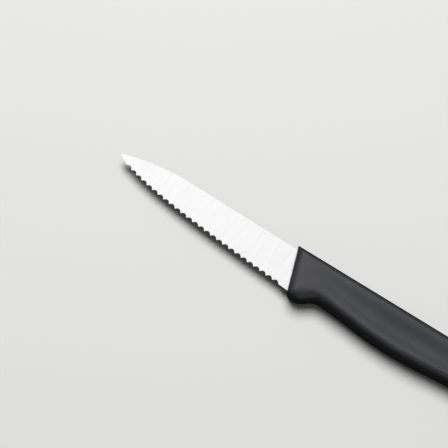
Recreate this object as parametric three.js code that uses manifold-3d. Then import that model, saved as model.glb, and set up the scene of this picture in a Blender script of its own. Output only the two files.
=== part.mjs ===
// Serrated vegetable knife, lying on its right side with its left side up. Millimetres.
//
// The knife is drawn with x = 0 and y = 0 at the front corner of the handle's spine, +x towards
// the butt, +y towards the spine, and z = 0 in the middle of the blade. At the end the whole knife
// is moved so that its origin is the centre of its box, on the surface it lies on.

import * as THREE from 'three';
import { mergeVertices } from 'three/addons/utils/BufferGeometryUtils.js';
import Module from 'manifold-3d';

// Blade: one piece of stainless strip. A drop is measured down from the handle's spine.
const BLADE_THICKNESS = 1.2;
const BLADE_REACH = 83.6; // front corner of the handle to the tip
const SPINE_DROP = 0.74; // blade's spine where it leaves the handle
const SPINE_STRAIGHT = 52.5; // straight run of the spine, before it falls to the tip
const SPINE_RISE = 0.53; // how far that run climbs
const TIP_DROP = 5.13;
const HEEL_DROP = 17.6; // edge where it leaves the handle
const EDGE_CLIMB = 0.054; // climb of the edge for each millimetre from the heel
const EDGE_AIM = 5.1; // the long run of the edge aims at a place this far behind the tip
const POINT_RUN = 4.3; // the point's own run, back from the tip
const POINT_CLIMB = 0.53;

// Teeth: scallops ground into the right face only, so the left face stays flat to the edge
const TOOTH_PITCH = 3.1;
const TOOTH_DEPTH = 1.05;
const TOOTH_LAND = 0.2; // flat left on each tooth's tip
const GRIND_TILT = THREE.MathUtils.degToRad(55); // grinding wheel's axis, off the blade's normal
const PLAIN_HEEL = 4.4; // edge without teeth, in front of the handle
const PLAIN_POINT = 5.6; // least edge without teeth, behind the tip

// Tang: the strip's tail inside the handle
const SHOULDER_DEPTH = 3; // full blade inside the handle, before it steps down to the tang
const TANG_LENGTH = 66;
const TANG_DROP = 3.9;
const TANG_WIDTH = 8.4;
const TANG_END_WIDTH = 6.4;
const ANCHOR_RADIUS = 2.2; // holes that the handle's plastic runs through
const ANCHOR_COUNT = 3;
const FIRST_ANCHOR = 17;
const ANCHOR_PITCH = 19;

// Handle: one plastic moulding over the tang
const HANDLE_LENGTH = 110;
const HANDLE_THICKNESS = 11;
const FRONT_RAKE = THREE.MathUtils.degToRad(18.6); // slope of the front end
const EDGE_ROUND = 2.75; // rounding of the long edges
const GUARD_DROP = 19.6; // bottom of the guard in front of the finger
const GUARD_ROUND = 3.3; // its rounded nose
const GUARD_FOOT = 0.6; // short flat under it
const WAIST_DROP = 15.6; // finger recess behind the guard
const WAIST_PLACE = 19;
const SWELL_DROP = 17.6; // belly of the grip
const SWELL_PLACE = 51;
const NECK_DROP = 15.6; // slimmest place behind the belly
const NECK_INSET = 23; // in front of the butt
const BEAK_DROP = 17; // small beak at the butt
const BEAK_INSET = 7;
const BUTT_DROP = 8; // rearmost point
const BUTT_FALL = 20; // length over which the spine falls to the rearmost point

// Shallow scoop along each side of the grip
const SCOOP_START = 16; // behind the front
const SCOOP_END = 8; // in front of the butt
const SCOOP_WIDTH = 10.8;
const SCOOP_DEPTH = 0.55;
const SCOOP_DROP = 8.4; // its middle line

// Gap between the moulding and the steel
const MOULD_GAP = 0.25;

// How full the curves are, as shares of their runs
const LEVEL_PULL = 0.45;
const ROUND_PULL = 0.55;
const ROUND_LIMIT = 0.95;
const SCOOP_BALL = 4;

// Smoothness of the curved surfaces
const OUTLINE_STEPS = 9;
const ROUND_STEPS = 5;
const WHEEL_SIDES = 28;
const SCOOP_SIDES = 56;
const WELD = 1e-4;

const wasm = await Module();
wasm.setup();

const steel = new THREE.MeshStandardMaterial({ color: 0xd8dadc, roughness: 0.3, metalness: 1 });
const plastic = new THREE.MeshStandardMaterial({ color: 0x2c2c2f, roughness: 0.6, metalness: 0 });

function solid(geometry) {
  geometry.deleteAttribute('normal');
  geometry.deleteAttribute('uv');
  const merged = mergeVertices(geometry, WELD);
  return new wasm.Manifold(new wasm.Mesh({
    numProp: 3,
    vertProperties: new Float32Array(merged.attributes.position.array),
    triVerts: new Uint32Array(merged.index.array),
  }));
}

function part(name, body, material) {
  const data = body.getMesh();
  const geometry = new THREE.BufferGeometry();
  geometry.setAttribute('position', new THREE.BufferAttribute(data.vertProperties, 3));
  geometry.setIndex(new THREE.BufferAttribute(data.triVerts, 1));
  geometry.computeVertexNormals();
  const mesh = new THREE.Mesh(geometry, material);
  mesh.name = name;
  return mesh;
}

// A flat plate of the given outline, with its middle at z = 0
function plate(outline, thickness) {
  const geometry = new THREE.ExtrudeGeometry(outline, {
    depth: thickness,
    bevelEnabled: false,
    curveSegments: OUTLINE_STEPS,
  });
  geometry.translate(0, 0, -thickness / 2);
  return solid(geometry);
}

// The handle's sloping front, and the lines that the blade's spine and heel follow
function frontAt(y) {
  return -y * Math.tan(FRONT_RAKE);
}

function spineAt(x) {
  return -SPINE_DROP - x * SPINE_RISE / SPINE_STRAIGHT;
}

function heelAt(x) {
  return -HEEL_DROP - (x - frontAt(-HEEL_DROP)) * EDGE_CLIMB;
}

const heel = new THREE.Vector2(frontAt(-HEEL_DROP), -HEEL_DROP);
const tip = new THREE.Vector2(-BLADE_REACH, -TIP_DROP);
const edge = new THREE.CubicBezierCurve(
  heel,
  new THREE.Vector2(tip.x + EDGE_AIM, heelAt(tip.x + EDGE_AIM)),
  new THREE.Vector2(tip.x + POINT_RUN, tip.y - POINT_RUN * POINT_CLIMB),
  tip,
);

// Shoulders and tang, from the blade's spine round to its heel, grown by a gap
function traceTang(outline, gap) {
  const shoulder = (y) => frontAt(y) + SHOULDER_DEPTH + gap;
  const top = -TANG_DROP;
  const bottom = top - TANG_WIDTH;
  const endTop = top - (TANG_WIDTH - TANG_END_WIDTH) / 2;
  const upper = spineAt(SHOULDER_DEPTH);
  const lower = heelAt(shoulder(heel.y));
  outline.lineTo(shoulder(upper), upper + gap);
  outline.lineTo(shoulder(top), top + gap);
  outline.lineTo(TANG_LENGTH + gap, endTop + gap);
  outline.lineTo(TANG_LENGTH + gap, endTop - TANG_END_WIDTH - gap);
  outline.lineTo(shoulder(bottom), bottom - gap);
  outline.lineTo(shoulder(lower), lower - gap);
}

function anchorPlace(index) {
  return new THREE.Vector2(FIRST_ANCHOR + index * ANCHOR_PITCH, -TANG_DROP - TANG_WIDTH / 2);
}

function bladeOutline() {
  const outline = new THREE.Shape();
  const fallStart = -SPINE_STRAIGHT;
  const fallMiddle = (fallStart + tip.x) / 2;
  outline.moveTo(tip.x, tip.y);
  outline.quadraticCurveTo(fallMiddle, spineAt(fallMiddle), fallStart, spineAt(fallStart));
  traceTang(outline, 0);
  outline.lineTo(heel.x, heel.y);
  outline.bezierCurveTo(edge.v1.x, edge.v1.y, edge.v2.x, edge.v2.y, tip.x, tip.y);
  for (let index = 0; index < ANCHOR_COUNT; index += 1) {
    const place = anchorPlace(index);
    outline.holes.push(new THREE.Path().absarc(place.x, place.y, ANCHOR_RADIUS, 0, 2 * Math.PI));
  }
  return outline;
}

// Directions at a place on the edge: along it, into the blade, and down the ground slope
function edgeFrame(distance) {
  const share = distance / edge.getLength();
  const place = edge.getPointAt(share);
  const tangent = edge.getTangentAt(share);
  const along = new THREE.Vector3(tangent.x, tangent.y, 0);
  const inward = new THREE.Vector3(tangent.y, -tangent.x, 0);
  const slope = inward.clone().multiplyScalar(Math.sin(GRIND_TILT));
  slope.z = -Math.cos(GRIND_TILT);
  return { place: new THREE.Vector3(place.x, place.y, BLADE_THICKNESS / 2), along, inward, slope };
}

// One grinding wheel, leaned over so that its cut starts at the left face and runs in under it
function toothWheel(distance) {
  const { place, along, inward, slope } = edgeFrame(distance);
  const depth = TOOTH_DEPTH * Math.cos(GRIND_TILT);
  const halfGap = (TOOTH_PITCH - TOOTH_LAND) / 2;
  const radius = (halfGap ** 2 + depth ** 2) / (2 * depth);
  const overrun = radius * Math.tan(GRIND_TILT);
  const length = BLADE_THICKNESS / Math.cos(GRIND_TILT) + 2 * overrun;
  const wheel = new THREE.CylinderGeometry(radius, radius, length, WHEEL_SIDES);
  const outside = new THREE.Vector3().crossVectors(along, slope);
  const centre = place.clone()
    .addScaledVector(inward, TOOTH_DEPTH - radius / Math.cos(GRIND_TILT))
    .addScaledVector(slope, BLADE_THICKNESS / Math.cos(GRIND_TILT) / 2);
  wheel.applyMatrix4(new THREE.Matrix4().makeBasis(along, slope, outside).setPosition(centre));
  return solid(wheel);
}

// The plain point is ground flat, at the same slope as the teeth
function pointBevel(start, length) {
  const { place, slope } = edgeFrame(start);
  const along = new THREE.Vector3(tip.x, tip.y, place.z).sub(place).normalize();
  const outside = new THREE.Vector3().crossVectors(along, slope).normalize();
  const down = new THREE.Vector3().crossVectors(outside, along);
  const slopeLength = BLADE_THICKNESS / Math.cos(GRIND_TILT);
  const size = 4 * slopeLength; // clear of both faces, to either side of the edge
  const wheel = new THREE.BoxGeometry(length + size, size, size);
  const centre = place.clone()
    .addScaledVector(along, (length + size) / 2)
    .addScaledVector(outside, size / 2);
  wheel.applyMatrix4(new THREE.Matrix4().makeBasis(along, down, outside).setPosition(centre));
  return solid(wheel);
}

function makeBlade() {
  const length = edge.getLength();
  const count = Math.floor((length - PLAIN_HEEL - PLAIN_POINT) / TOOTH_PITCH);
  let blade = plate(bladeOutline(), BLADE_THICKNESS);
  for (let index = 0; index < count; index += 1) {
    blade = blade.subtract(toothWheel(PLAIN_HEEL + (index + 0.5) * TOOTH_PITCH));
  }
  const toothed = PLAIN_HEEL + count * TOOTH_PITCH;
  return blade.subtract(pointBevel(toothed, length - toothed));
}

// A curve between two places where the outline runs level
function sweep(outline, x, y) {
  const start = outline.currentPoint.clone();
  const pull = (x - start.x) * LEVEL_PULL;
  outline.bezierCurveTo(start.x + pull, start.y, x - pull, y, x, y);
}

// Side view of the handle: down the front, back along the belly, round the butt and along the spine
function handleOutline() {
  const outline = new THREE.Shape();
  const noseY = -GUARD_DROP + GUARD_ROUND;
  const noseX = frontAt(noseY) + GUARD_ROUND / Math.cos(FRONT_RAKE);
  const noseStart = Math.PI + FRONT_RAKE;
  const beakX = HANDLE_LENGTH - BEAK_INSET;
  outline.moveTo(0, 0);
  outline.lineTo(noseX + GUARD_ROUND * Math.cos(noseStart), noseY + GUARD_ROUND * Math.sin(noseStart));
  outline.absarc(noseX, noseY, GUARD_ROUND, noseStart, 1.5 * Math.PI);
  outline.lineTo(noseX + GUARD_FOOT, -GUARD_DROP);
  sweep(outline, WAIST_PLACE, -WAIST_DROP);
  sweep(outline, SWELL_PLACE, -SWELL_DROP);
  sweep(outline, HANDLE_LENGTH - NECK_INSET, -NECK_DROP);
  sweep(outline, beakX, -BEAK_DROP);
  outline.bezierCurveTo(
    beakX + BEAK_INSET * ROUND_PULL, -BEAK_DROP,
    HANDLE_LENGTH, -BUTT_DROP - (BEAK_DROP - BUTT_DROP) * ROUND_PULL,
    HANDLE_LENGTH, -BUTT_DROP,
  );
  outline.bezierCurveTo(
    HANDLE_LENGTH, -BUTT_DROP * (1 - ROUND_PULL),
    HANDLE_LENGTH - BUTT_FALL * (1 - ROUND_PULL), 0,
    HANDLE_LENGTH - BUTT_FALL, 0,
  );
  outline.lineTo(0, 0);
  return outline;
}

// The moulding's outside, with its long edges rounded as far as its nose and half thickness allow
function handleBody() {
  const round = Math.min(EDGE_ROUND, GUARD_ROUND * ROUND_LIMIT, HANDLE_THICKNESS / 2 * ROUND_LIMIT);
  const depth = HANDLE_THICKNESS - 2 * round;
  const geometry = new THREE.ExtrudeGeometry(handleOutline(), {
    depth,
    curveSegments: OUTLINE_STEPS,
    bevelThickness: round,
    bevelSize: round,
    bevelOffset: -round,
    bevelSegments: ROUND_STEPS,
  });
  geometry.translate(0, 0, -depth / 2);
  return solid(geometry);
}

// A flattened ball that dishes one side of the grip; side is 1 for the left and -1 for the right
function scoop(side) {
  const length = HANDLE_LENGTH - SCOOP_START - SCOOP_END;
  const height = SCOOP_DEPTH * SCOOP_BALL;
  const rim = Math.sqrt(1 - (1 - 1 / SCOOP_BALL) ** 2);
  const ball = new THREE.SphereGeometry(1, SCOOP_SIDES, SCOOP_SIDES / 2);
  ball.rotateX(Math.PI / 2);
  ball.scale(length / 2 / rim, SCOOP_WIDTH / 2 / rim, height);
  const lift = HANDLE_THICKNESS / 2 - SCOOP_DEPTH + height;
  ball.translate(SCOOP_START + length / 2, -SCOOP_DROP, side * lift);
  return solid(ball);
}

// The room that the blade and its tang take up in the moulding, less the pegs through the tang
function tangPocket() {
  const outline = new THREE.Shape();
  const mouth = -SHOULDER_DEPTH;
  outline.moveTo(mouth, spineAt(mouth) + MOULD_GAP);
  traceTang(outline, MOULD_GAP);
  outline.lineTo(mouth, heelAt(mouth) - MOULD_GAP);
  for (let index = 0; index < ANCHOR_COUNT; index += 1) {
    const place = anchorPlace(index);
    const radius = ANCHOR_RADIUS - MOULD_GAP;
    outline.holes.push(new THREE.Path().absarc(place.x, place.y, radius, 0, 2 * Math.PI));
  }
  return plate(outline, BLADE_THICKNESS + 2 * MOULD_GAP);
}

function makeHandle() {
  return handleBody().subtract(scoop(1)).subtract(scoop(-1)).subtract(tangPocket());
}

const knife = new THREE.Group();
knife.add(part('blade', makeBlade(), steel));
knife.add(part('handle', makeHandle(), plastic));
const box = new THREE.Box3().setFromObject(knife);
const middle = box.getCenter(new THREE.Vector3());
knife.position.set(-middle.x, -middle.y, -box.min.z);

export default knife;
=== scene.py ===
"""Serrated vegetable knife: a ground steel blade in a moulded plastic handle, lying on its right side.

Lengths are metres in the frame's own axes: +X from the tip to the butt, +Y from the cutting edge to the
spine, and +Z up through the thickness.
"""

import math

import bpy
from mathutils import Matrix, Vector
from mathutils.geometry import interpolate_bezier, intersect_point_line


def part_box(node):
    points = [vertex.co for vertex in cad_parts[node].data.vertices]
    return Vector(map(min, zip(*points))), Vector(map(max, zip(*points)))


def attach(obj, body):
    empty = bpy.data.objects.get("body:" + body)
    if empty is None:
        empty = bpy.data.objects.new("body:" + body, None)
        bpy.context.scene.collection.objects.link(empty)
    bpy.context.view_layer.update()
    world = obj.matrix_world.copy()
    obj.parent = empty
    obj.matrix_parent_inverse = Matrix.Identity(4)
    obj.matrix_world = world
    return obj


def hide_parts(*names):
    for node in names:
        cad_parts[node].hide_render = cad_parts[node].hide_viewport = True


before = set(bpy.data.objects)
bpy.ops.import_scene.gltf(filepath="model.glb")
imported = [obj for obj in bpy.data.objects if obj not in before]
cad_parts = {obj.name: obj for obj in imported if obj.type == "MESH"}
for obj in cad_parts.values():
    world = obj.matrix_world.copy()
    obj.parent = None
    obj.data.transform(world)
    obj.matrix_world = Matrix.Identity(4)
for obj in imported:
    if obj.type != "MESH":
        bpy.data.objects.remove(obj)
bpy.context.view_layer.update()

bl_info = {
    "name": "Serrated vegetable knife",
    "version": (1, 0, 0),
    "blender": (4, 5, 0),
    "location": "View3D > Sidebar > Knife",
    "description": "Models a small serrated kitchen knife and the table that it lies on",
    "category": "Add Mesh",
}

MM = 0.001
BLADE_LOW, BLADE_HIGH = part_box("blade")
HANDLE_LOW, HANDLE_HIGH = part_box("handle")

# The front corner of the handle on its spine, at the middle of the blade. Drops are measured down from it.
CORNER = Vector((HANDLE_LOW.x, HANDLE_HIGH.y, (BLADE_LOW.z + BLADE_HIGH.z) / 2))

# How full the handle's curves are, as shares of their runs
LEVEL_PULL = 0.45
ROUND_PULL = 0.55

# Smoothness of the curved surfaces
OUTLINE_STEPS = 24
EDGE_STEPS = 480
ROUND_STEPS = 12
WHEEL_SIDES = 64
PEG_SIDES = 48
RIM_STEPS = 2
SMOOTH_ANGLE = math.radians(16)
WELD = 1e-6

# How far the cutters reach, as multiples of the strip's thickness
PEG_REACH = 3
BLOCK_REACH = 4

# The range that most values of a noise texture lie in
NOISE_LOW = 0.3
NOISE_HIGH = 0.7


def linear(code):
    """A colour's sRGB hex code, as the linear values that a shader takes."""
    channels = [int(code[place:place + 2], 16) / 255 for place in (0, 2, 4)]
    return [value / 12.92 if value <= 0.04045 else ((value + 0.055) / 1.055) ** 2.4 for value in channels]


def length(name, description, millimetres):
    """A length among the settings, given in millimetres and kept in metres."""
    return bpy.props.FloatProperty(
        name=name, description=description, default=millimetres * MM, precision=5, unit="LENGTH")


def angle(name, description, degrees):
    """An angle among the settings, given in degrees and kept in radians."""
    return bpy.props.FloatProperty(
        name=name, description=description, default=math.radians(degrees), subtype="ANGLE", unit="ROTATION")


def number(name, description, value):
    """A plain number among the settings."""
    return bpy.props.FloatProperty(name=name, description=description, default=value)


def colour(name, description, code):
    """A colour among the settings, given as its sRGB hex code."""
    return bpy.props.FloatVectorProperty(
        name=name, description=description, default=linear(code), size=3, min=0, max=1, subtype="COLOR")


class BladeSizes(bpy.types.PropertyGroup):
    """Sizes of the steel strip: blade, teeth and tang."""

    reach: length("Reach", "Front corner of the handle to the tip", (HANDLE_LOW.x - BLADE_LOW.x) / MM)
    thickness: length("Thickness", "Thickness of the strip", (BLADE_HIGH.z - BLADE_LOW.z) / MM)
    spine_drop: length("Spine drop", "Blade's spine where it leaves the handle", 0.74)
    spine_straight: length("Spine straight", "Straight run of the spine, before it falls to the tip", 52.5)
    spine_rise: length("Spine rise", "How far that run climbs", 0.53)
    tip_drop: length("Tip drop", "Height of the tip", 5.13)
    heel_drop: length("Heel drop", "Edge where it leaves the handle", 17.6)
    edge_climb: number("Edge climb", "Climb of the edge along its length", 0.054)
    edge_aim: length("Edge aim", "The long run of the edge aims this far behind the tip", 5.1)
    point_run: length("Point run", "The point's own run, back from the tip", 4.3)
    point_climb: number("Point climb", "Climb of the edge at the point", 0.53)
    rim_round: length("Rim round", "Rounding of the strip's rim, left by tumbling", 0.05)
    tooth_pitch: length("Tooth pitch", "Scallop to scallop", 3.1)
    tooth_depth: length("Tooth depth", "Depth of a scallop", 1.05)
    tooth_land: length("Tooth land", "Flat left on each tooth's tip", 0.2)
    grind_tilt: angle("Grind tilt", "Grinding wheel's axis, off the blade's normal", 55)
    plain_heel: length("Plain heel", "Edge without teeth, in front of the handle", 4.4)
    plain_point: length("Plain point", "Least edge without teeth, behind the tip", 5.6)
    shoulder_depth: length("Shoulder depth", "Full blade inside the handle", 3)
    tang_length: length("Tang length", "Tang inside the handle", 66)
    tang_drop: length("Tang drop", "Top of the tang", 3.9)
    tang_width: length("Tang width", "Tang at the shoulders", 8.4)
    tang_end_width: length("Tang end width", "Tang at its end", 6.4)
    anchor_radius: length("Anchor radius", "Holes that the plastic runs through", 2.2)
    anchor_first: length("First anchor", "First hole, behind the front corner", 17)
    anchor_pitch: length("Anchor pitch", "Hole to hole", 19)
    anchor_count: bpy.props.IntProperty(name="Anchors", description="Number of holes", default=3, min=1)
    steel: colour("Steel", "Colour of the ground steel", "C8C8C9")


class HandleSizes(bpy.types.PropertyGroup):
    """Sizes of the moulded handle."""

    length: length("Length", "Front corner to the butt", (HANDLE_HIGH.x - HANDLE_LOW.x) / MM)
    thickness: length("Thickness", "Side to side", (HANDLE_HIGH.z - HANDLE_LOW.z) / MM)
    front_rake: angle("Front rake", "Slope of the front end", 18.6)
    edge_round: length("Edge round", "Rounding of the long edges", 2.75)
    guard_soft: length("Guard soft", "Width of the flatter rounding at the front end and the guard", 4.8)
    guard_back: length("Guard back", "End of that rounding, behind the front corner", 10)
    waist_soft: length("Waist soft", "Wider rounding in the finger recess", 3.75)
    guard_drop: length("Guard drop", "Bottom of the guard", (HANDLE_HIGH.y - HANDLE_LOW.y) / MM)
    guard_round: length("Guard round", "Rounded nose of the guard", 3.3)
    guard_foot: length("Guard foot", "Short flat under the guard", 0.6)
    waist_drop: length("Waist drop", "Finger recess behind the guard", 15.6)
    waist_place: length("Waist place", "Recess, behind the front corner", 19)
    swell_drop: length("Swell drop", "Belly of the grip", 17.6)
    swell_place: length("Swell place", "Belly, behind the front corner", 51)
    neck_drop: length("Neck drop", "Slimmest place behind the belly", 15.6)
    neck_inset: length("Neck inset", "Neck, in front of the butt", 23)
    beak_drop: length("Beak drop", "Small beak at the butt", 17)
    beak_inset: length("Beak inset", "Beak, in front of the butt", 7)
    butt_drop: length("Butt drop", "Rearmost point", 8)
    butt_fall: length("Butt fall", "Length over which the spine falls to the rearmost point", 20)
    scoop_start: length("Scoop start", "Scoop in each side, behind the front corner", 8)
    scoop_end: length("Scoop end", "End of the scoop, in front of the butt", 6)
    scoop_drop: length("Scoop drop", "Upper rim of the scoop", 3)
    scoop_upper: length("Scoop upper", "Upper rim to the scoop's deepest line", 6.8)
    scoop_lower: length("Scoop lower", "Deepest line to the scoop's lower rim", 4.6)
    scoop_depth: length("Scoop depth", "Depth of the scoop", 0.85)
    grid: length("Grid", "Spacing of the cuts that let the sides bend", 1)
    mould_gap: length("Mould gap", "Gap left between the plastic and the steel", 0.03)
    plastic: colour("Plastic", "Colour of the moulded plastic", "17181E")


class StageSettings(bpy.types.PropertyGroup):
    """The table, the lights and the camera."""

    floor: colour("Floor", "Colour of the table", "E3E3E2")
    # Painted shade: the table's darker copy, which only the knife's reflections see
    floor_mirrored: colour("Mirrored floor", "Colour of the table, as the knife mirrors it", "3C3C3C")
    floor_width: length("Floor width", "Side of the table", 6000)
    view_turn: angle("View turn", "Camera's turn round the knife", 33.15)
    view_rise: angle("View rise", "Camera's height above the table", 70)
    view_distance: length("View distance", "Camera to the place that it looks at", 488)
    view_aim_back: length("Aim back", "Place it looks at, in front of the handle's corner", 30.66)
    view_aim_drop: length("Aim drop", "Place it looks at, below the spine", 7.65)
    lens: number("Lens", "Focal length in millimetres, on a 36 mm sensor", 96.75)
    lamp_turn: angle("Lamp turn", "Lamp, turned from the spine's side towards the tip", 38)
    lamp_rise: angle("Lamp rise", "Lamp's height above the table", 68)
    lamp_distance: length("Lamp distance", "Lamp to the knife", 1400)
    lamp_width: length("Lamp width", "Lamp's diameter", 920)
    lamp_level: number("Lamp level", "Light that the lamp gives a white sheet facing it", 0.95)
    fill_level: number("Fill level", "Light that the room gives a white sheet", 0.11)
    window_turn: angle("Window turn", "Bright patch, turned from the spine's side towards the tip", 44)
    window_rise: angle("Window rise", "Bright patch's height above the table", 58)
    window_core: angle("Window core", "Half width of its even middle", 18)
    window_edge: angle("Window edge", "Half width at which it has faded out", 43)
    window_level: number("Window level", "Brightness of the patch, as polished metal mirrors it", 1.87)
    card_turn: angle("Card turn", "Dark card, turned from the edge's side towards the tip", 11)
    card_rise: angle("Card rise", "Dark card's height above the table", 5)
    card_core: angle("Card core", "Half width of its even middle", 24)
    card_edge: angle("Card edge", "Half width at which it has faded out", 40)
    card_level: number("Card level", "Brightness of the card, as polished metal mirrors it", 0.1)
    room_level: number("Room level", "Brightness of the room, as it is seen and as metal mirrors it", 0.46)


def deselect():
    """Leaves edit mode with nothing selected, so that an operator finds only what is chosen next."""
    if bpy.context.mode != "OBJECT":
        bpy.ops.object.mode_set(mode="OBJECT")
    bpy.ops.object.select_all(action="DESELECT")


def activate(piece):
    """Makes a piece the active one, and the only one selected."""
    deselect()
    piece.select_set(True)
    bpy.context.view_layer.objects.active = piece


def choose(piece, kind, test):
    """Opens a piece in edit mode with the vertices, edges or faces selected that pass a test."""
    activate(piece)
    bpy.ops.object.mode_set(mode="EDIT")
    bpy.ops.mesh.select_mode(type=kind)
    bpy.ops.mesh.select_all(action="DESELECT")
    bpy.ops.object.mode_set(mode="OBJECT")
    mesh = piece.data
    items = {"VERT": mesh.vertices, "EDGE": mesh.edges, "FACE": mesh.polygons}[kind]
    for item in items:
        item.select = test(item)
    bpy.ops.object.mode_set(mode="EDIT")


def add_node(tree, kind, settings, inputs):
    """Adds a node, sets its settings, and sets or links its inputs."""
    node = tree.nodes.new(kind)
    for name, value in settings.items():
        setattr(node, name, value)
    for name, value in inputs.items():
        if isinstance(value, bpy.types.NodeSocket):
            tree.links.new(value, node.inputs[name])
        else:
            node.inputs[name].default_value = value
    return node


def new_material(name):
    """An empty material and its node tree."""
    material = bpy.data.materials.new(name)
    material.use_nodes = True
    material.node_tree.nodes.clear()
    return material, material.node_tree


class Outline:
    """A closed outline in the knife's side view, drawn with straight lines and curves."""

    def __init__(self, x, y):
        self.points = [[self.place(x, y), None, None]]

    @staticmethod
    def place(x, y):
        """A place in the frame, from its distances to the handle's front corner."""
        return Vector((CORNER.x + x, CORNER.y + y, 0))

    def line_to(self, x, y, steps=1):
        """Draws a straight line, cut into equal steps."""
        start = self.points[-1][0]
        for step in range(1, steps + 1):
            self.points.append([start.lerp(self.place(x, y), step / steps), None, None])

    def curve_to(self, out_x, out_y, in_x, in_y, x, y):
        """Draws a curve, with one control point for its start and one for its end."""
        self.points[-1][2] = self.place(out_x, out_y)
        self.points.append([self.place(x, y), self.place(in_x, in_y), None])

    def close_curve(self, out_x, out_y, in_x, in_y):
        """Closes the outline with a curve back to its start."""
        self.points[-1][2] = self.place(out_x, out_y)
        self.points[0][1] = self.place(in_x, in_y)


def plate(name, outline, thickness):
    """A flat plate with the given outline, centred on the blade's middle."""
    deselect()
    bpy.ops.curve.primitive_bezier_curve_add(location=(0, 0, 0))
    curve = bpy.context.object
    spline = curve.data.splines[0]
    spline.bezier_points.add(len(outline.points) - len(spline.bezier_points))
    spline.use_cyclic_u = True
    spline.resolution_u = OUTLINE_STEPS
    for point, (place, pull_in, pull_out) in zip(spline.bezier_points, outline.points):
        point.co = place
        point.handle_left_type = "FREE" if pull_in else "VECTOR"
        point.handle_right_type = "FREE" if pull_out else "VECTOR"
        point.handle_left = pull_in or place
        point.handle_right = pull_out or place
    bpy.ops.object.convert(target="MESH")
    piece = bpy.context.object
    piece.name = name
    piece.data.name = name
    bpy.ops.object.mode_set(mode="EDIT")
    bpy.ops.mesh.select_all(action="SELECT")
    bpy.ops.mesh.remove_doubles(threshold=WELD)
    bpy.ops.mesh.edge_face_add()
    bpy.ops.transform.translate(value=(0, 0, CORNER.z - thickness / 2))
    bpy.ops.mesh.extrude_region_move(TRANSFORM_OT_translate={"value": (0, 0, thickness)})
    bpy.ops.mesh.select_all(action="SELECT")
    bpy.ops.mesh.normals_make_consistent(inside=False)
    deselect()
    return piece


def round_rim(piece, width, steps):
    """Rounds the two rims of a plate."""
    vertices = piece.data.vertices

    def on_rim(edge):
        start, end = (vertices[index].co for index in edge.vertices)
        return abs(start.z - end.z) < WELD

    choose(piece, "EDGE", on_rim)
    bpy.ops.mesh.bevel(
        offset_type="OFFSET", offset=width, segments=steps, profile=0.5, affect="EDGES",
        clamp_overlap=False)
    bpy.ops.mesh.select_all(action="SELECT")
    bpy.ops.mesh.remove_doubles(threshold=WELD)
    deselect()


def carve(piece, cutter):
    """Cuts one solid out of another, and deletes the cutter."""
    activate(piece)
    cut = piece.modifiers.new("carve", "BOOLEAN")
    cut.operation = "DIFFERENCE"
    cut.solver = "EXACT"
    cut.use_self = True
    cut.object = cutter
    bpy.ops.object.modifier_apply(modifier=cut.name)
    bpy.data.objects.remove(cutter)


def smooth(piece):
    """Merges doubles, turns the faces outwards and shades round surfaces smooth."""
    activate(piece)
    bpy.ops.object.mode_set(mode="EDIT")
    bpy.ops.mesh.select_all(action="SELECT")
    bpy.ops.mesh.remove_doubles(threshold=WELD)
    bpy.ops.mesh.normals_make_consistent(inside=False)
    bpy.ops.object.mode_set(mode="OBJECT")
    bpy.ops.object.transform_apply(location=True, rotation=True, scale=True)
    bpy.ops.object.shade_smooth_by_angle(angle=SMOOTH_ANGLE)
    deselect()


def join(pieces):
    """Joins pieces into the first of them."""
    deselect()
    for piece in pieces:
        piece.select_set(True)
    bpy.context.view_layer.objects.active = pieces[0]
    bpy.ops.object.join()
    return bpy.context.object


def pegs(sizes, radius, height):
    """Round pegs in a row where the tang has its holes."""
    made = []
    for index in range(sizes.anchor_count):
        deselect()
        bpy.ops.mesh.primitive_cylinder_add(
            vertices=PEG_SIDES, radius=radius, depth=height,
            location=CORNER + Vector((
                sizes.anchor_first + index * sizes.anchor_pitch,
                -sizes.tang_drop - sizes.tang_width / 2,
                0,
            )))
        made.append(bpy.context.object)
    return made


def front_at(rake, y):
    """The handle's sloping front, behind its corner, at a height."""
    return -y * math.tan(rake)


def spine_at(sizes, x):
    """Height of the spine's straight run, at a place behind the handle's corner."""
    return -sizes.spine_drop - x * sizes.spine_rise / sizes.spine_straight


def heel_at(sizes, rake, x):
    """Height of a straight line through the heel, along the edge's climb, at such a place."""
    return -sizes.heel_drop - (x - front_at(rake, -sizes.heel_drop)) * sizes.edge_climb


def edge_curve(sizes, rake):
    """The cutting edge, from the heel to the tip, as the four points of a curve."""
    heel = Vector((front_at(rake, -sizes.heel_drop), -sizes.heel_drop, 0))
    tip = Vector((-sizes.reach, -sizes.tip_drop, 0))
    aim = tip.x + sizes.edge_aim
    return (
        heel,
        Vector((aim, heel_at(sizes, rake, aim), 0)),
        Vector((tip.x + sizes.point_run, tip.y - sizes.point_run * sizes.point_climb, 0)),
        tip,
    )


def trace_tang(outline, sizes, rake, gap):
    """Draws the shoulders and the tang, from the spine round to the heel, grown by a gap."""
    top = -sizes.tang_drop
    bottom = top - sizes.tang_width
    end_top = top - (sizes.tang_width - sizes.tang_end_width) / 2
    upper = spine_at(sizes, sizes.shoulder_depth)

    def shoulder(y):
        return front_at(rake, y) + sizes.shoulder_depth + gap

    lower = heel_at(sizes, rake, shoulder(-sizes.heel_drop))
    outline.line_to(shoulder(upper), upper + gap)
    outline.line_to(shoulder(top), top + gap)
    outline.line_to(sizes.tang_length + gap, end_top + gap)
    outline.line_to(sizes.tang_length + gap, end_top - sizes.tang_end_width - gap)
    outline.line_to(shoulder(bottom), bottom - gap)
    outline.line_to(shoulder(lower), lower - gap)


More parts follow.
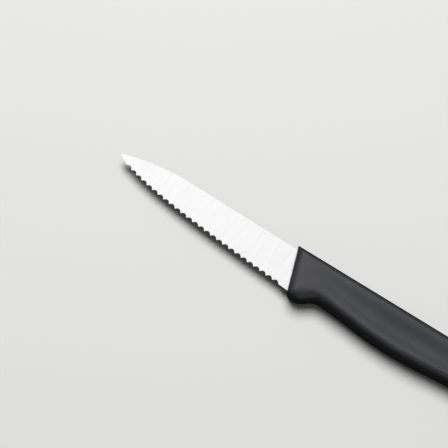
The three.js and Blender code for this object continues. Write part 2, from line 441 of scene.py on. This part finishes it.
def blade_outline(sizes, rake):
    """Side view of the blade: from the tip along the spine, round the tang and back along the edge."""
    heel, aim, point, tip = edge_curve(sizes, rake)
    fall = -sizes.spine_straight
    middle = (fall + tip.x) / 2
    # The spine falls along a parabola, whose one control point pulls both ends by two thirds
    control = Vector((middle, spine_at(sizes, middle), 0))
    start = Vector((fall, spine_at(sizes, fall), 0))
    pull_out = tip.lerp(control, 2 / 3)
    pull_in = start.lerp(control, 2 / 3)
    outline = Outline(tip.x, tip.y)
    outline.curve_to(pull_out.x, pull_out.y, pull_in.x, pull_in.y, start.x, start.y)
    trace_tang(outline, sizes, rake, 0)
    outline.line_to(heel.x, heel.y)
    outline.close_curve(aim.x, aim.y, point.x, point.y)
    return outline


def along_edge(sizes, rake, distance):
    """A place on the cutting edge, at the blade's upper face, and the direction of the edge there."""
    points = interpolate_bezier(*edge_curve(sizes, rake), EDGE_STEPS)
    lift = CORNER + Vector((0, 0, sizes.thickness / 2))
    for start, end in zip(points, points[1:]):
        step = (end - start).length
        if distance <= step:
            return start.lerp(end, distance / step) + lift, (end - start).normalized()
        distance -= step
    raise ValueError("that place lies beyond the tip")


def edge_length(sizes, rake):
    """Length of the cutting edge, from the heel to the tip."""
    points = interpolate_bezier(*edge_curve(sizes, rake), EDGE_STEPS)
    return sum((end - start).length for start, end in zip(points, points[1:]))


def ground_slope(sizes, along):
    """Directions from the edge into the blade, and down the ground slope under it."""
    inward = Vector((along.y, -along.x, 0))
    slope = inward * math.sin(sizes.grind_tilt) - Vector((0, 0, math.cos(sizes.grind_tilt)))
    return inward, slope


def set_basis(cutter, x_axis, y_axis, z_axis, place):
    """Turns a cutter's own axes into the given ones, and moves it to a place."""
    turn = Matrix((x_axis, y_axis, z_axis)).transposed().to_4x4()
    cutter.matrix_world = Matrix.Translation(place) @ turn


def tooth_wheels(sizes, rake, count):
    """One grinding wheel for each scallop, leaned over so that it cuts in under the upper face."""
    lean = math.cos(sizes.grind_tilt)
    depth = sizes.tooth_depth * lean
    half_gap = (sizes.tooth_pitch - sizes.tooth_land) / 2
    # The wheel's rim passes through both ends of the gap and through its deepest place
    radius = (half_gap ** 2 + depth ** 2) / (2 * depth)
    slope_length = sizes.thickness / lean
    deselect()
    bpy.ops.mesh.primitive_cylinder_add(
        vertices=WHEEL_SIDES, radius=radius, depth=slope_length + 2 * radius * math.tan(sizes.grind_tilt))
    first = bpy.context.object
    wheels = []
    for index in range(count):
        wheel = first.copy()
        wheel.data = first.data.copy()
        bpy.context.collection.objects.link(wheel)
        place, along = along_edge(sizes, rake, sizes.plain_heel + (index + 0.5) * sizes.tooth_pitch)
        inward, slope = ground_slope(sizes, along)
        centre = place + inward * (sizes.tooth_depth - radius / lean) + slope * (slope_length / 2)
        set_basis(wheel, along, slope.cross(along), slope, centre)
        wheels.append(wheel)
    bpy.data.objects.remove(first)
    return wheels


def point_bevel(sizes, rake, start):
    """A block that grinds the plain point flat, at the same slope as the teeth."""
    place, edge_way = along_edge(sizes, rake, start)
    slope = ground_slope(sizes, edge_way)[1]
    tip = edge_curve(sizes, rake)[3] + CORNER + Vector((0, 0, sizes.thickness / 2))
    along = (tip - place).normalized()
    outside = along.cross(slope).normalized()
    width = BLOCK_REACH * sizes.thickness / math.cos(sizes.grind_tilt)
    reach = (tip - place).length + width
    deselect()
    bpy.ops.mesh.primitive_cube_add(size=1)
    block = bpy.context.object
    block.scale = (reach, width, width)
    bpy.ops.object.transform_apply(location=False, rotation=False, scale=True)
    set_basis(block, along, outside.cross(along), outside, place + along * reach / 2 + outside * width / 2)
    return block


def ground_steel(sizes):
    """Stainless steel strip, ground across its width on a belt: pale, satin, with fine lines across it.

    The eye sees a soft, nearly white sheen and hardly any lines, because they are finer than 0.1 mm.
    """
    material, tree = new_material("ground_stainless_steel")
    line_width = 0.3 * MM  # real lines are about 0.05 mm, and are drawn coarser so that they show
    line_length = 9 * MM
    line_depth = 0.01 * MM
    place = add_node(tree, "ShaderNodeTexCoord", {}, {})
    stretch = add_node(tree, "ShaderNodeMapping", {"vector_type": "POINT"}, {
        "Vector": place.outputs["Object"], "Scale": (1 / line_width, 1 / line_length, 1 / line_length)})
    lines = add_node(tree, "ShaderNodeTexNoise", {}, {
        "Vector": stretch.outputs["Vector"], "Scale": 1.0, "Detail": 3.0, "Roughness": 0.6})
    gloss = add_node(tree, "ShaderNodeMapRange", {}, {
        "Value": lines.outputs["Fac"], "From Min": NOISE_LOW, "From Max": NOISE_HIGH,
        "To Min": 0.27, "To Max": 0.37})
    groove = add_node(tree, "ShaderNodeBump", {}, {
        "Height": lines.outputs["Fac"], "Strength": 0.18, "Distance": line_depth})
    shader = add_node(tree, "ShaderNodeBsdfPrincipled", {}, {
        "Base Color": (*sizes.steel, 1), "Metallic": 1.0,
        "Roughness": gloss.outputs["Result"], "Normal": groove.outputs["Normal"]})
    add_node(tree, "ShaderNodeOutputMaterial", {}, {"Surface": shader.outputs["BSDF"]})
    return material


def moulded_plastic(sizes):
    """Black polypropylene, moulded in a spark-eroded tool: dark grey, matt, with a fine even grain.

    The eye sees a soft sheen that follows the form, and the grain only close by.
    """
    material, tree = new_material("moulded_black_polypropylene")
    grain_width = 0.4 * MM  # real grain is about 0.1 mm, and is drawn coarser so that it shows
    grain_depth = 0.1 * MM
    cloud_width = 9 * MM  # soft patches in the gloss, left by the flow of the melt
    sheen_ior = 1.58  # the plastic's own is about 1.49, and is raised to match the sheen of the flat sides
    place = add_node(tree, "ShaderNodeTexCoord", {}, {})
    grain = add_node(tree, "ShaderNodeTexNoise", {}, {
        "Vector": place.outputs["Object"], "Scale": 1 / grain_width, "Detail": 2.0, "Roughness": 0.5})
    cloud = add_node(tree, "ShaderNodeTexNoise", {}, {
        "Vector": place.outputs["Object"], "Scale": 1 / cloud_width, "Detail": 2.0, "Roughness": 0.5})
    gloss = add_node(tree, "ShaderNodeMapRange", {}, {
        "Value": cloud.outputs["Fac"], "From Min": NOISE_LOW, "From Max": NOISE_HIGH,
        "To Min": 0.34, "To Max": 0.4})
    pits = add_node(tree, "ShaderNodeBump", {}, {
        "Height": grain.outputs["Fac"], "Strength": 0.5, "Distance": grain_depth})
    shader = add_node(tree, "ShaderNodeBsdfPrincipled", {}, {
        "Base Color": (*sizes.plastic, 1), "Metallic": 0.0, "IOR": sheen_ior,
        "Roughness": gloss.outputs["Result"], "Normal": pits.outputs["Normal"]})
    add_node(tree, "ShaderNodeOutputMaterial", {}, {"Surface": shader.outputs["BSDF"]})
    return material


def pale_table(settings):
    """Painted board, rolled on matt: the eye sees a plain pale grey.

    It is drawn darker where the knife mirrors it, as painted shade that keeps the handle's lower sides
    black.
    """
    material, tree = new_material("matt_painted_board")
    path = add_node(tree, "ShaderNodeLightPath", {}, {})
    seen = add_node(tree, "ShaderNodeBsdfDiffuse", {}, {"Color": (*settings.floor, 1)})
    # Painted shade: a darker copy of the table, which only the knife's reflections see
    mirrored = add_node(tree, "ShaderNodeBsdfDiffuse", {}, {"Color": (*settings.floor_mirrored, 1)})
    shader = add_node(tree, "ShaderNodeMixShader", {}, {
        0: path.outputs["Is Glossy Ray"], 1: seen.outputs["BSDF"], 2: mirrored.outputs["BSDF"]})
    add_node(tree, "ShaderNodeOutputMaterial", {}, {"Surface": shader.outputs["Shader"]})
    return material


def dress(piece, material, node):
    """Gives a finished piece its material, and its place in the frame."""
    piece.data.materials.clear()
    piece.data.materials.append(material)
    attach(piece, "root")
    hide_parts(node)


class KNIFE_OT_blade(bpy.types.Operator):
    """Models the blade: one steel strip with ground scallops, shoulders and a tang."""

    bl_idname = "knife.blade"
    bl_label = "Blade"

    def execute(self, context):
        sizes = context.scene.knife_blade
        rake = context.scene.knife_handle.front_rake
        blade = plate("steel_blade", blade_outline(sizes, rake), sizes.thickness)
        round_rim(blade, sizes.rim_round, RIM_STEPS)
        run = edge_length(sizes, rake)
        count = math.floor((run - sizes.plain_heel - sizes.plain_point) / sizes.tooth_pitch)
        cutters = tooth_wheels(sizes, rake, count)
        cutters.append(point_bevel(sizes, rake, sizes.plain_heel + count * sizes.tooth_pitch))
        cutters.extend(pegs(sizes, sizes.anchor_radius, PEG_REACH * sizes.thickness))
        carve(blade, join(cutters))
        smooth(blade)
        dress(blade, ground_steel(sizes), "blade")
        return {"FINISHED"}


def handle_outline(sizes):
    """Side view of the handle: down the front, along the belly, round the butt and along the spine."""
    rake = sizes.front_rake
    nose_y = -sizes.guard_drop + sizes.guard_round
    nose_x = front_at(rake, nose_y) + sizes.guard_round / math.cos(rake)
    # The nose turns through what is left of a right angle, on a curve that follows a circle
    turn = math.pi / 2 - rake
    pull = 4 / 3 * math.tan(turn / 4) * sizes.guard_round
    start_x = nose_x - sizes.guard_round * math.cos(rake)
    start_y = nose_y - sizes.guard_round * math.sin(rake)
    outline = Outline(0, 0)
    # Steps start clear of the sharp corner, where the rounding of the two edges meets
    clear = sizes.edge_round / math.tan((math.pi / 2 - rake) / 2) + sizes.grid
    outline.line_to(clear * math.sin(rake), -clear * math.cos(rake))
    outline.line_to(start_x, start_y, math.ceil((-start_y - clear) / sizes.grid))
    outline.curve_to(
        start_x + pull * math.sin(rake), start_y - pull * math.cos(rake),
        nose_x - pull, -sizes.guard_drop,
        nose_x, -sizes.guard_drop)
    outline.line_to(nose_x + sizes.guard_foot, -sizes.guard_drop)
    x = nose_x + sizes.guard_foot
    y = -sizes.guard_drop
    beak_x = sizes.length - sizes.beak_inset
    for next_x, drop in (
        (sizes.waist_place, sizes.waist_drop),
        (sizes.swell_place, sizes.swell_drop),
        (sizes.length - sizes.neck_inset, sizes.neck_drop),
        (beak_x, sizes.beak_drop),
    ):
        pull = (next_x - x) * LEVEL_PULL
        outline.curve_to(x + pull, y, next_x - pull, -drop, next_x, -drop)
        x = next_x
        y = -drop
    outline.curve_to(
        beak_x + sizes.beak_inset * ROUND_PULL, -sizes.beak_drop,
        sizes.length, -sizes.butt_drop - (sizes.beak_drop - sizes.butt_drop) * ROUND_PULL,
        sizes.length, -sizes.butt_drop)
    outline.curve_to(
        sizes.length, -sizes.butt_drop * (1 - ROUND_PULL),
        sizes.length - sizes.butt_fall * (1 - ROUND_PULL), 0,
        sizes.length - sizes.butt_fall, 0)
    outline.line_to(clear, 0, math.ceil((sizes.length - sizes.butt_fall - clear) / sizes.grid))
    return outline


def grid_sides(handle, sizes):
    """Cuts the two flat sides into a grid."""
    planes = [
        (CORNER + Vector((cut * sizes.grid, 0, 0)), Vector((1, 0, 0)))
        for cut in range(1, math.ceil(sizes.length / sizes.grid))]
    planes += [
        (CORNER - Vector((0, cut * sizes.grid, 0)), Vector((0, 1, 0)))
        for cut in range(1, math.ceil(sizes.guard_drop / sizes.grid))]
    for place, normal in planes:
        choose(handle, "FACE", lambda face: abs(face.normal.z) > 1 - WELD)
        bpy.ops.mesh.bisect(plane_co=place, plane_no=normal, threshold=WELD)
    deselect()


def smooth_step(value):
    """Rises smoothly from 0 to 1."""
    value = min(1, max(0, value))
    return value * value * (3 - 2 * value)


def scoop_at(sizes, x, y):
    """Depth of the scoop: straight along the spine, and narrower towards its ends."""
    half_length = (sizes.length - sizes.scoop_start - sizes.scoop_end) / 2
    fade = 1 - ((x - sizes.scoop_start) / half_length - 1) ** 2
    if fade <= 0:
        return 0
    narrowing = math.sqrt(fade)
    above = y + sizes.scoop_drop + sizes.scoop_upper * narrowing
    half_width = narrowing * (sizes.scoop_upper if above > 0 else sizes.scoop_lower)
    return sizes.scoop_depth * fade * max(0, 1 - (above / half_width) ** 2) ** 2


def rounding_at(width, depth, inset):
    """How far an elliptical rounding lies below the flat side, at an inset from the edge."""
    share = min(1, max(0, 1 - inset / width))
    return depth * (1 - math.sqrt(1 - share ** 2))


def front_outline(handle, sizes):
    """The stretches of a plain plate's outline round the front end, the guard and the finger recess."""
    ring = [vertex.co.to_2d() for vertex in handle.data.vertices if vertex.co.z < CORNER.z]
    # The wider rounding ends well before this place
    reach = CORNER.x + 2 * sizes.waist_place
    return [
        (start, end) for start, end in zip(ring, ring[1:] + ring[:1])
        if min(start.y, end.y) < CORNER.y - WELD and min(start.x, end.x) < reach]


def softening_at(sizes, stretches, place):
    """How much further the wider roundings lie below the side than the plain one."""
    run = sizes.waist_place - sizes.guard_back
    into_waist = smooth_step((place.x - CORNER.x - sizes.guard_back) / run)
    past_waist = smooth_step((place.x - CORNER.x - sizes.waist_place) / run)
    # The spine keeps the plain rounding, which gives way over this height
    spine_fade = 2 * sizes.edge_round
    from_spine = smooth_step((CORNER.y - place.y) / spine_fade)
    if past_waist >= 1 or from_spine <= 0:
        return 0
    inset = math.inf
    for start, end in stretches:
        along = intersect_point_line(place, start, end)[1]
        inset = min(inset, (place - start.lerp(end, min(1, max(0, along)))).length)
    guard_extra = (1 - into_waist) * (sizes.guard_soft - sizes.edge_round)
    waist_extra = (into_waist - past_waist) * (sizes.waist_soft - sizes.edge_round)
    width = sizes.edge_round + (guard_extra + waist_extra) * from_spine
    depth = sizes.edge_round + waist_extra * from_spine
    return rounding_at(width, depth, inset) - rounding_at(sizes.edge_round, sizes.edge_round, inset)


def press_sides(handle, sizes, stretches):
    """Presses the scoop into each side, and widens the rounding at the front end and the guard."""
    deepest = sizes.scoop_depth + sizes.edge_round
    flat = sizes.thickness / 2 - WELD
    for side in (1, -1):
        group = handle.vertex_groups.new(name="pressed")
        for vertex in handle.data.vertices:
            height = (vertex.co.z - CORNER.z) * side
            if height > sizes.thickness / 2 - sizes.edge_round - WELD:
                depth = softening_at(sizes, stretches, vertex.co.to_2d())
                if height > flat:
                    depth += scoop_at(sizes, vertex.co.x - CORNER.x, vertex.co.y - CORNER.y)
                group.add([vertex.index], depth / deepest, "REPLACE")
        activate(handle)
        press = handle.modifiers.new("press", "DISPLACE")
        press.vertex_group = group.name
        press.direction = "Z"
        press.mid_level = 0
        press.strength = -side * deepest
        bpy.ops.object.modifier_apply(modifier=press.name)
        handle.vertex_groups.clear()


def tang_pocket(blade, rake, gap):
    """The room that the blade takes up in the moulding, less the pegs that run through the tang."""
    mouth = -blade.shoulder_depth
    outline = Outline(mouth, spine_at(blade, mouth) + gap)
    trace_tang(outline, blade, rake, gap)
    outline.line_to(mouth, heel_at(blade, rake, mouth) - gap)
    pocket = plate("tang_pocket", outline, blade.thickness + 2 * gap)
    carve(pocket, join(pegs(blade, blade.anchor_radius - gap, PEG_REACH * blade.thickness)))
    return pocket


class KNIFE_OT_handle(bpy.types.Operator):
    """Models the handle: one moulding over the tang, with a guard, a finger recess and scooped sides."""

    bl_idname = "knife.handle"
    bl_label = "Handle"

    def execute(self, context):
        sizes = context.scene.knife_handle
        handle = plate("moulded_handle", handle_outline(sizes), sizes.thickness)
        stretches = front_outline(handle, sizes)
        round_rim(handle, sizes.edge_round, ROUND_STEPS)
        grid_sides(handle, sizes)
        press_sides(handle, sizes, stretches)
        carve(handle, tang_pocket(context.scene.knife_blade, sizes.front_rake, sizes.mould_gap))
        smooth(handle)
        dress(handle, moulded_plastic(sizes), "handle")
        return {"FINISHED"}


def direction(turn, rise):
    """Points from the knife at a turn round it and a height above the table, from the edge's side."""
    return Vector((math.sin(turn) * math.cos(rise), -math.cos(turn) * math.cos(rise), math.sin(rise)))


def aim_back(thing):
    """Turns a lamp or camera so that it looks along its own -Z at the place that it was moved away from."""
    thing.rotation_euler = thing.location.to_track_quat("Z", "Y").to_euler()


def room_patch(tree, way, centre, core, edge, level, around):
    """A round patch of the room with its own brightness, which fades into what lies around it."""
    facing = add_node(tree, "ShaderNodeVectorMath", {"operation": "DOT_PRODUCT"}, {0: way, 1: centre})
    spread = add_node(tree, "ShaderNodeMath", {"operation": "ARCCOSINE"}, {0: facing.outputs["Value"]})
    patch = add_node(tree, "ShaderNodeMapRange", {"interpolation_type": "SMOOTHSTEP"}, {
        "Value": spread.outputs["Value"], "From Min": edge, "From Max": core,
        "To Min": around, "To Max": level})
    return patch.outputs["Result"]


def light_room(settings):
    """The room: weak even light, and a plain grey that is seen behind the table and mirrored by the knife.

    The knife also mirrors a bright window overhead, and a dark card low down on the edge's side, which
    keeps the belly of the handle black.
    """
    world = bpy.data.worlds.new("studio_room")
    bpy.context.scene.world = world
    world.use_nodes = True
    tree = world.node_tree
    tree.nodes.clear()
    white = (1, 1, 1, 1)
    path = add_node(tree, "ShaderNodeLightPath", {}, {})
    mirrored = add_node(tree, "ShaderNodeMath", {"operation": "MAXIMUM"}, {
        0: path.outputs["Is Glossy Ray"], 1: path.outputs["Is Transmission Ray"]})
    way = add_node(tree, "ShaderNodeTexCoord", {}, {}).outputs["Generated"]
    card = room_patch(
        tree, way, direction(-settings.card_turn, settings.card_rise),
        settings.card_core, settings.card_edge, settings.card_level, settings.room_level)
    window = room_patch(
        tree, way, direction(math.pi + settings.window_turn, settings.window_rise),
        settings.window_core, settings.window_edge, settings.window_level, card)
    fill = add_node(tree, "ShaderNodeBackground", {}, {"Color": white, "Strength": settings.fill_level})
    mirror = add_node(tree, "ShaderNodeBackground", {}, {"Color": white, "Strength": window})
    backdrop = add_node(tree, "ShaderNodeBackground", {}, {"Color": white, "Strength": settings.room_level})
    lit = add_node(tree, "ShaderNodeMixShader", {}, {
        0: mirrored.outputs["Value"], 1: fill.outputs["Background"], 2: mirror.outputs["Background"]})
    seen = add_node(tree, "ShaderNodeMixShader", {}, {
        0: path.outputs["Is Camera Ray"], 1: lit.outputs["Shader"], 2: backdrop.outputs["Background"]})
    add_node(tree, "ShaderNodeOutputWorld", {}, {"Surface": seen.outputs["Shader"]})


class KNIFE_OT_stage(bpy.types.Operator):
    """Lays the table, hangs the lamp, lights the room and sets up the camera."""

    bl_idname = "knife.stage"
    bl_label = "Stage"

    def execute(self, context):
        settings = context.scene.knife_stage
        context.scene.view_settings.view_transform = "Standard"
        deselect()
        bpy.ops.mesh.primitive_plane_add(size=settings.floor_width)
        table = context.object
        table.name = "table"
        table.data.materials.append(pale_table(settings))
        deselect()
        bpy.ops.object.light_add(type="AREA")
        lamp = context.object
        lamp.name = "overhead_lamp"
        lamp.data.shape = "DISK"
        lamp.data.size = settings.lamp_width
        # The power at which a white sheet that faces the lamp shows the lamp's level
        spread = settings.lamp_distance ** 2 + (settings.lamp_width / 2) ** 2
        lamp.data.energy = settings.lamp_level * math.pi ** 2 * spread
        lamp.visible_glossy = False
        lamp.location = direction(math.pi + settings.lamp_turn, settings.lamp_rise) * settings.lamp_distance
        aim_back(lamp)
        light_room(settings)
        deselect()
        bpy.ops.object.camera_add()
        camera = context.object
        camera.data.lens = settings.lens
        camera.location = direction(settings.view_turn, settings.view_rise) * settings.view_distance
        aim_back(camera)
        camera.location += CORNER - Vector((settings.view_aim_back, settings.view_aim_drop, 0))
        context.scene.camera = camera
        return {"FINISHED"}


class KNIFE_PT_sidebar(bpy.types.Panel):
    """The knife's sizes, colours and pieces."""

    bl_label = "Vegetable knife"
    bl_idname = "KNIFE_PT_sidebar"
    bl_space_type = "VIEW_3D"
    bl_region_type = "UI"
    bl_category = "Knife"

    def draw(self, context):
        for operator, group in (
            ("knife.stage", context.scene.knife_stage),
            ("knife.blade", context.scene.knife_blade),
            ("knife.handle", context.scene.knife_handle),
        ):
            column = self.layout.column(align=True)
            column.operator(operator)
            for name in group.__annotations__:
                column.prop(group, name)


CLASSES = (
    BladeSizes,
    HandleSizes,
    StageSettings,
    KNIFE_OT_stage,
    KNIFE_OT_blade,
    KNIFE_OT_handle,
    KNIFE_PT_sidebar,
)


def register():
    """Registers the classes, and gives the scene its settings."""
    for added in CLASSES:
        bpy.utils.register_class(added)
    bpy.types.Scene.knife_blade = bpy.props.PointerProperty(type=BladeSizes)
    bpy.types.Scene.knife_handle = bpy.props.PointerProperty(type=HandleSizes)
    bpy.types.Scene.knife_stage = bpy.props.PointerProperty(type=StageSettings)


def unregister():
    """Takes the settings and the classes away again."""
    del bpy.types.Scene.knife_stage
    del bpy.types.Scene.knife_handle
    del bpy.types.Scene.knife_blade
    for added in reversed(CLASSES):
        bpy.utils.unregister_class(added)


def main():
    """Builds the stage and both pieces."""
    register()
    bpy.ops.knife.stage()
    bpy.ops.knife.blade()
    bpy.ops.knife.handle()


if __name__ == "__main__":
    main()
